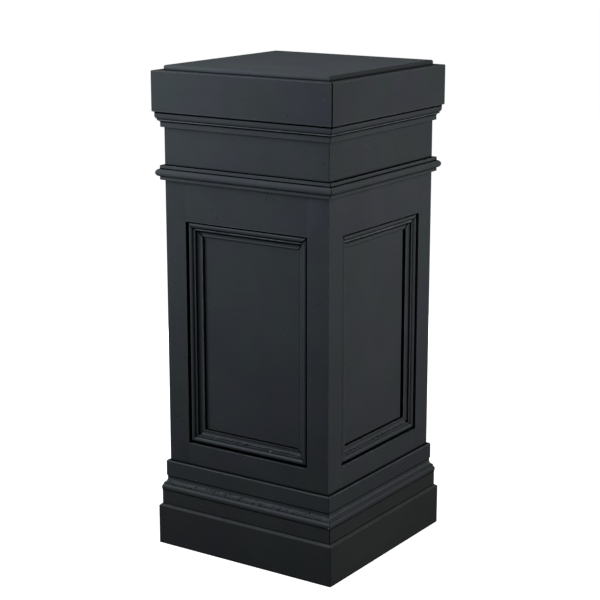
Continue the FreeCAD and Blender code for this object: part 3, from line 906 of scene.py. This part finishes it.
def spotted(tree, place, base, spot):
    """One small mark on the front, which lies in X and Z."""
    across, up, half_width, half_height, tone = spot
    axes = add(tree, "ShaderNodeSeparateXYZ")
    link(tree, place, axes.inputs[0])
    squares = []
    for axis, middle, half in (("X", across, half_width), ("Z", up, half_height)):
        away = maths(tree, "SUBTRACT", axes.outputs[axis], middle * MM)
        squares.append(maths(tree, "POWER", maths(tree, "DIVIDE", away, half * MM), 2.0))
    inside = ramp(tree, maths(tree, "ADD", *squares), 0.4, 1.2, 1.0, 0.0)
    return mixed(tree, inside, base, tinted(PAINT, tone))


def painted_corner_shade(tree, base):
    """Painted shade deep in joints and sunk corners, from ambient occlusion, and hardly any where
    paint has filled them.
    """
    reach, full, ended = PAINTED_SHADE
    opened = add(tree, "ShaderNodeAmbientOcclusion", samples=16, Distance=reach)
    deep = ramp(tree, opened.outputs["AO"], full, ended, 1.0, 0.0)
    kept = ramp(tree, face_layer(tree, "clean"), 0.0, 1.0, PAINTED_SHADE_DEPTH, PAINTED_SHADE_IN_FILLED_JOINTS)
    return mixed(tree, maths(tree, "MULTIPLY", deep, kept), base, tinted(PAINT, PAINTED_SHADE_TONE))


def paint(name, axis, lit_tint=1.0, dust_and_toplight=0.0, takes_painted_shade=True, spots=()):
    """Brushed satin paint on wood, with strokes along one axis."""
    material, tree = new_material(name)
    tree.nodes.clear()
    out = add(tree, "ShaderNodeOutputMaterial")
    surface = add(tree, "ShaderNodeBsdfPrincipled", IOR=1.5)
    surface.inputs["Specular IOR Level"].default_value = SHEEN
    link(tree, surface.outputs["BSDF"], out.inputs["Surface"])
    place = add(tree, "ShaderNodeTexCoord").outputs["Object"]

    strokes = mapped_noise(tree, place, stretched(axis, BRUSH_ALONG, BRUSH_ACROSS), 3.0, 0.6)
    clouds = mapped_noise(tree, place, 7.0, 3.0, 0.55)
    hues = mapped_noise(tree, place, 11.0)
    grain = mapped_noise(tree, place, 1300.0, 1.0)
    patches = mapped_noise(tree, place, 34.0, 4.0, 0.65)

    # The tint paints highlight (paler) and shade (darker on a side) into the paint's colour.
    base = mixed(tree, ramp(tree, hues, 0.40, 0.60), tinted(COOL_PAINT, lit_tint),
                 tinted(GREEN_PAINT, lit_tint))
    base = shaded(tree, base, ramp(tree, clouds, 0.3, 0.7, 0.93, 1.07))
    base = shaded(tree, base, ramp(tree, strokes, 0.35, 0.75, 0.97, 1.05))
    base = speckled(tree, place, patches, base)
    # Paler on what faces up, as dust and as painted light from above.
    if dust_and_toplight:
        base = add_dust_and_toplight(tree, patches, base, dust_and_toplight)
    base = marked(tree, place, base, lit_tint)
    base = cracked(tree, place, base)
    for spot in spots:
        base = spotted(tree, place, base, spot)
    # Painted shade in joints and sunk corners.
    if takes_painted_shade:
        base = painted_corner_shade(tree, base)
    link(tree, base, surface.inputs["Base Color"])
    link(tree, ramp(tree, patches, 0.3, 0.7, 0.55, 0.66), surface.inputs["Roughness"])

    coarse_bump = add(tree, "ShaderNodeBump", Strength=0.25, Distance=0.00006)
    link(tree, strokes, coarse_bump.inputs["Height"])
    fine_bump = add(tree, "ShaderNodeBump", Strength=0.2, Distance=0.0001)
    link(tree, grain, fine_bump.inputs["Height"])
    link(tree, coarse_bump.outputs["Normal"], fine_bump.inputs["Normal"])
    link(tree, fine_bump.outputs["Normal"], surface.inputs["Normal"])
    return material


def bare_wood(name, base, axis):
    """Planed softwood or plywood inside the carcass, with its grain along one axis."""
    material, tree = new_material(name)
    surface = tree.nodes["Principled BSDF"]
    surface.inputs["Specular IOR Level"].default_value = 0.3
    place = add(tree, "ShaderNodeTexCoord").outputs["Object"]
    grain = mapped_noise(tree, place, stretched(axis, 4.0, 160.0), 5.0, 0.6)
    broad = mapped_noise(tree, place, stretched(axis, 2.0, 30.0))
    tone = mixed(tree, ramp(tree, broad, 0.3, 0.7), tinted(base, 0.85), tinted(base, 1.1))
    tone = mixed(tree, ramp(tree, grain, 0.45, 0.7, 0.0, 0.5), tone, tinted(base, 0.6))
    link(tree, tone, surface.inputs["Base Color"])
    link(tree, ramp(tree, grain, 0.3, 0.7, 0.6, 0.75), surface.inputs["Roughness"])
    bump = add(tree, "ShaderNodeBump", Strength=0.3, Distance=0.0002)
    link(tree, grain, bump.inputs["Height"])
    link(tree, bump.outputs["Normal"], surface.inputs["Normal"])
    return material


def zinc():
    """Zinc-plated steel of the screws."""
    material, tree = new_material("zinc")
    surface = tree.nodes["Principled BSDF"]
    surface.inputs["Metallic"].default_value = 1.0
    place = add(tree, "ShaderNodeTexCoord").outputs["Object"]
    spangle = mapped_noise(tree, place, 900.0)
    link(tree, mixed(tree, spangle, colour(0.48, 0.47, 0.44), colour(0.62, 0.61, 0.58)),
         surface.inputs["Base Color"])
    link(tree, ramp(tree, spangle, 0.3, 0.7, 0.3, 0.45), surface.inputs["Roughness"])
    return material


# ---------------------------------------------------------------- the stand

# How much dust and painted light from above lie on what faces up, by the kind of piece and by its
# side.
DUST_AND_TOPLIGHT = {"moulding": 0.85, "base": 0.8, "plinth": 0.45, "board": 0.1}
DUST_AND_TOPLIGHT_ON_SIDE = {"front": 1.0, "right": 0.25, "back": 0.5, "left": 0.6}

# How pale the paint of a kind of piece is, as painted highlight, how much that changes on one side,
# as painted shade, and the painted hue of the light there.
HIGHLIGHT_TINT = {"bead": 1.25, "bed": 1.1, "base": 1.06}
SHADE_ON_SIDE = {("bead", "right"): 0.82, ("bed", "right"): 0.86, ("base", "right"): 0.86,
                ("board", "right"): 0.88, ("plinth", "right"): 0.78}
LIGHT_HUE = {("plinth", "front"): (1.0, 0.97, 0.92), ("plinth", "right"): (1.0, 1.0, 0.9)}
# The top board's paint is paler, as painted light on its top.
SLAB_TOPLIGHT = 1.5

# Small marks of use: across, up, half-width and half-height in millimetres, and tone.
SPOTS = {
    ("board", "front"): [(171.4, 783.5, 2.6, 0.9, 0.25), (197.6, 925.5, 1.3, 2.6, 0.1)],
    ("base", "front"): [(145.9, 129.7, 0.9, 2.6, 0.1), (192.5, 112.5, 1.6, 1.6, 6.0)],
    ("plinth", "front"): [(-41.0, 66.3, 1.1, 1.0, 0.15)],
    ("moulding", "front"): [(50.2, 228.6, 2.4, 1.1, 7.0), (-7.6, 230.3, 3.6, 0.8, 0.1),
                            (127.5, 229.0, 0.8, 3.2, 0.1)],
}

LEVEL_PAINTS = ("board", "frame", "moulding", "bead", "bed", "base", "panel", "plinth")


def lit_tint_of(kind, side):
    factor = HIGHLIGHT_TINT.get(kind, 1.0) * SHADE_ON_SIDE.get((kind, side), 1.0)
    return tuple(factor * part for part in LIGHT_HUE.get((kind, side), (1.0, 1.0, 1.0)))


def finish_node(node, material):
    """Gives a CAD node that stays its material."""
    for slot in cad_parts[node].material_slots:
        slot.material = material


def dress_side(side):
    """Every visible piece of one side; a board's step is the distance between its rings."""
    axis = "X" if side in ("front", "back") else "Y"
    # Each side has its own lit and shaded copies of the paints.
    level = {kind: paint(f"{kind}_{side}_paint", axis, lit_tint_of(kind, side),
                         DUST_AND_TOPLIGHT.get(kind, 0.0) * DUST_AND_TOPLIGHT_ON_SIDE[side], kind != "panel",
                         SPOTS.get((kind, side), ()))
             for kind in LEVEL_PAINTS}
    upright = paint(f"upright_{side}_paint", "Z")
    boards = [
        ("plinth_board", plinth_outline(), PLINTH_FOOT, 8.0, "plinth"),
        ("base_board", base_board_outline(), PLINTH_TOP, 8.0, "plinth"),
        ("base_moulding", base_moulding_outline(), BASE_MOULDING_FOOT, 2.5, "base"),
        ("astragal", astragal_outline(), ASTRAGAL_FOOT, 3.0, "bead"),
        ("frieze_board", frieze_outline(), FRIEZE_FOOT, 12.0, "board"),
        ("bed_moulding", bed_outline(), BED_FOOT, 4.0, "bed"),
        ("cap_board", cap_outline(), CAP_FOOT, 8.0, "board"),
    ]
    for kind, outline, foot, step, finish in boards:
        side_board(kind, side, outline, foot, step, level[finish])
    panel_moulding(side, level["moulding"])
    rail("bottom_rail", side, OPENING_FOOT, level["frame"])
    rail("top_rail", side, OPENING_TOP, level["frame"])
    for hand_name in HANDS:
        stile(hand_name, side, upright)
    finish_node(f"panel_{side}", level["panel"])


def dress():
    for side in SIDES:
        dress_side(side)
    slab(paint("slab_paint", "X", SLAB_TOPLIGHT))
    softwood = bare_wood("softwood", colour(0.50, 0.34, 0.19), "Z")
    plywood = bare_wood("plywood", colour(0.46, 0.32, 0.19), "X")
    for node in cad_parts:
        if node.startswith("corner_post"):
            finish_node(node, softwood)
    finish_node("carcass_top", plywood)
    finish_node("carcass_bottom", plywood)
    finish_node("top_screws", zinc())


# ---------------------------------------------------------------- camera, floor and light

CAMERA_AZIMUTH = math.radians(33.825)
CAMERA_ELEVATION = math.radians(13.694)
CAMERA_ROLL = math.radians(-0.016)
CAMERA_DISTANCE = 3.1807
CAMERA_AIM_HEIGHT = 0.4778
CAMERA_AIM_ACROSS = -0.0010
FOCAL_PIXELS = 1642.6
PHOTO_PIXELS = 600
SENSOR = 36.0


def camera():
    """The photograph's point of view, with both its corners upright."""
    data = bpy.data.cameras.new("camera")
    data.sensor_width = SENSOR
    data.lens = SENSOR * FOCAL_PIXELS / PHOTO_PIXELS
    data.clip_start = 0.05
    data.clip_end = 100.0
    back = Vector((math.sin(CAMERA_AZIMUTH) * math.cos(CAMERA_ELEVATION),
                   -math.cos(CAMERA_AZIMUTH) * math.cos(CAMERA_ELEVATION),
                   math.sin(CAMERA_ELEVATION)))
    level_right = Vector((math.cos(CAMERA_AZIMUTH), math.sin(CAMERA_AZIMUTH), 0))
    level_up = back.cross(level_right)
    right = level_right * math.cos(CAMERA_ROLL) + level_up * math.sin(CAMERA_ROLL)
    up = back.cross(right)
    place = Vector((0, 0, CAMERA_AIM_HEIGHT)) + level_right * CAMERA_AIM_ACROSS
    place += back * CAMERA_DISTANCE
    made = bpy.data.objects.new("camera", data)
    made.matrix_world = Matrix((right, up, back)).transposed().to_4x4()
    made.matrix_world.translation = place
    bpy.context.scene.collection.objects.link(made)
    bpy.context.scene.camera = made


FLOOR_HALF = 30.0
FLOOR_GLOW_NEAR = 0.80  # a glow of 1 is white; the floor near the stand leaves room for its shadow
FLOOR_GLOW_FAR = 1.0
FLOOR_NEAR_REACH = 0.4
FLOOR_FAR_REACH = 1.8
FLOOR_PAINT = 0.6
FLOOR_BOUNCE = 0.05  # how pale the floor is for the light that it sends back to the stand
WORLD_LIGHT = 0.01
WHITE = grey(1.0)


def seen_directly(tree):
    """1 for what the camera, a mirror or glass shows, and 0 for what only lights the stand."""
    path = add(tree, "ShaderNodeLightPath")
    seen = maths(tree, "MAXIMUM", path.outputs["Is Camera Ray"], path.outputs["Is Glossy Ray"])
    return maths(tree, "MAXIMUM", seen, path.outputs["Is Transmission Ray"])


def floor_material():
    """Glows where it is seen, more so far from the stand, and takes its shadow."""
    material, tree = new_material("floor")
    tree.nodes.clear()
    out = add(tree, "ShaderNodeOutputMaterial")
    both = add(tree, "ShaderNodeAddShader")
    seen = seen_directly(tree)
    distance = add(tree, "ShaderNodeVectorMath", operation="LENGTH")
    link(tree, add(tree, "ShaderNodeTexCoord").outputs["Object"], distance.inputs[0])
    glow = add(tree, "ShaderNodeEmission", Color=WHITE)
    strength = ramp(tree, distance.outputs["Value"], FLOOR_NEAR_REACH, FLOOR_FAR_REACH,
                    FLOOR_GLOW_NEAR, FLOOR_GLOW_FAR)
    link(tree, maths(tree, "MULTIPLY", seen, strength), glow.inputs["Strength"])
    matt = add(tree, "ShaderNodeBsdfDiffuse")
    link(tree, mixed(tree, seen, grey(FLOOR_BOUNCE), grey(FLOOR_PAINT)), matt.inputs["Color"])
    link(tree, matt.outputs["BSDF"], both.inputs[0])
    link(tree, glow.outputs["Emission"], both.inputs[1])
    link(tree, both.outputs["Shader"], out.inputs["Surface"])
    return material


def floor():
    """A wide pale floor that reads white and keeps the stand's shadow."""
    mesh = bmesh.new()
    bmesh.ops.create_grid(mesh, x_segments=1, y_segments=1, size=FLOOR_HALF)
    data = bpy.data.meshes.new("floor")
    mesh.to_mesh(data)
    mesh.free()
    made = bpy.data.objects.new("floor", data)
    bpy.context.scene.collection.objects.link(made)
    data.materials.append(floor_material())


def sky():
    """White to look at, and dim as a light."""
    world = bpy.data.worlds.new("world")
    world.use_nodes = True
    tree = world.node_tree
    background = tree.nodes["Background"]
    background.inputs["Color"].default_value = WHITE
    strength = ramp(tree, seen_directly(tree), 0.0, 1.0, WORLD_LIGHT, 1.0)
    link(tree, strength, background.inputs["Strength"])
    bpy.context.scene.world = world


COOL = (0.90, 1.0, 1.10)
NEUTRAL = (1.0, 1.0, 1.0)


def lamp(name, place, aim, size, power, tone):
    """A rectangular lamp, in metres and watts."""
    data = bpy.data.lights.new(name, "AREA")
    data.shape = "RECTANGLE"
    data.size, data.size_y = size
    data.energy = power
    data.color = tone
    made = bpy.data.objects.new(name, data)
    made.visible_camera = False
    made.location = place
    made.rotation_mode = "QUATERNION"
    made.rotation_quaternion = (Vector(aim) - Vector(place)).to_track_quat("-Z", "Y")
    bpy.context.scene.collection.objects.link(made)


def light():
    """Soft lamps: three at the left of the viewer, three at the right, one above, one behind."""
    lamp("key_high", (-0.70, -1.0, 2.0), (0, 0, 1.36), (1.1, 1.1), 12.5, COOL)
    lamp("key_near", (-0.50, -0.92, 1.15), (0, 0, 1.45), (1.2, 1.2), 9.0, COOL)
    lamp("key_low", (-0.9, -1.1, 1.2), (0, 0, 1.2), (0.9, 0.9), 11.5, NEUTRAL)
    lamp("right_high", (1.35, 0.15, 1.75), (0, 0, 0.95), (0.5, 0.8), 7.0, (0.94, 1.0, 1.06))
    lamp("right", (1.6, 0.18, 1.25), (0, 0, 1.0), (0.7, 0.9), 22.0, (1.0, 1.0, 0.99))
    lamp("right_mid", (1.05, 0.12, 0.52), (0, 0, 0.5), (0.4, 0.4), 1.8, (1.0, 1.0, 1.02))
    lamp("overhead", (-0.3, -0.5, 2.1), (0, 0, 0.9), (0.6, 0.6), 3.3, NEUTRAL)
    lamp("behind", (-1.2, 1.2, 0.50), (0, 0, 0.5), (1.6, 0.8), 20.0, NEUTRAL)


dress()
camera()
floor()
sky()
light()
bpy.context.scene.view_settings.view_transform = "Standard"
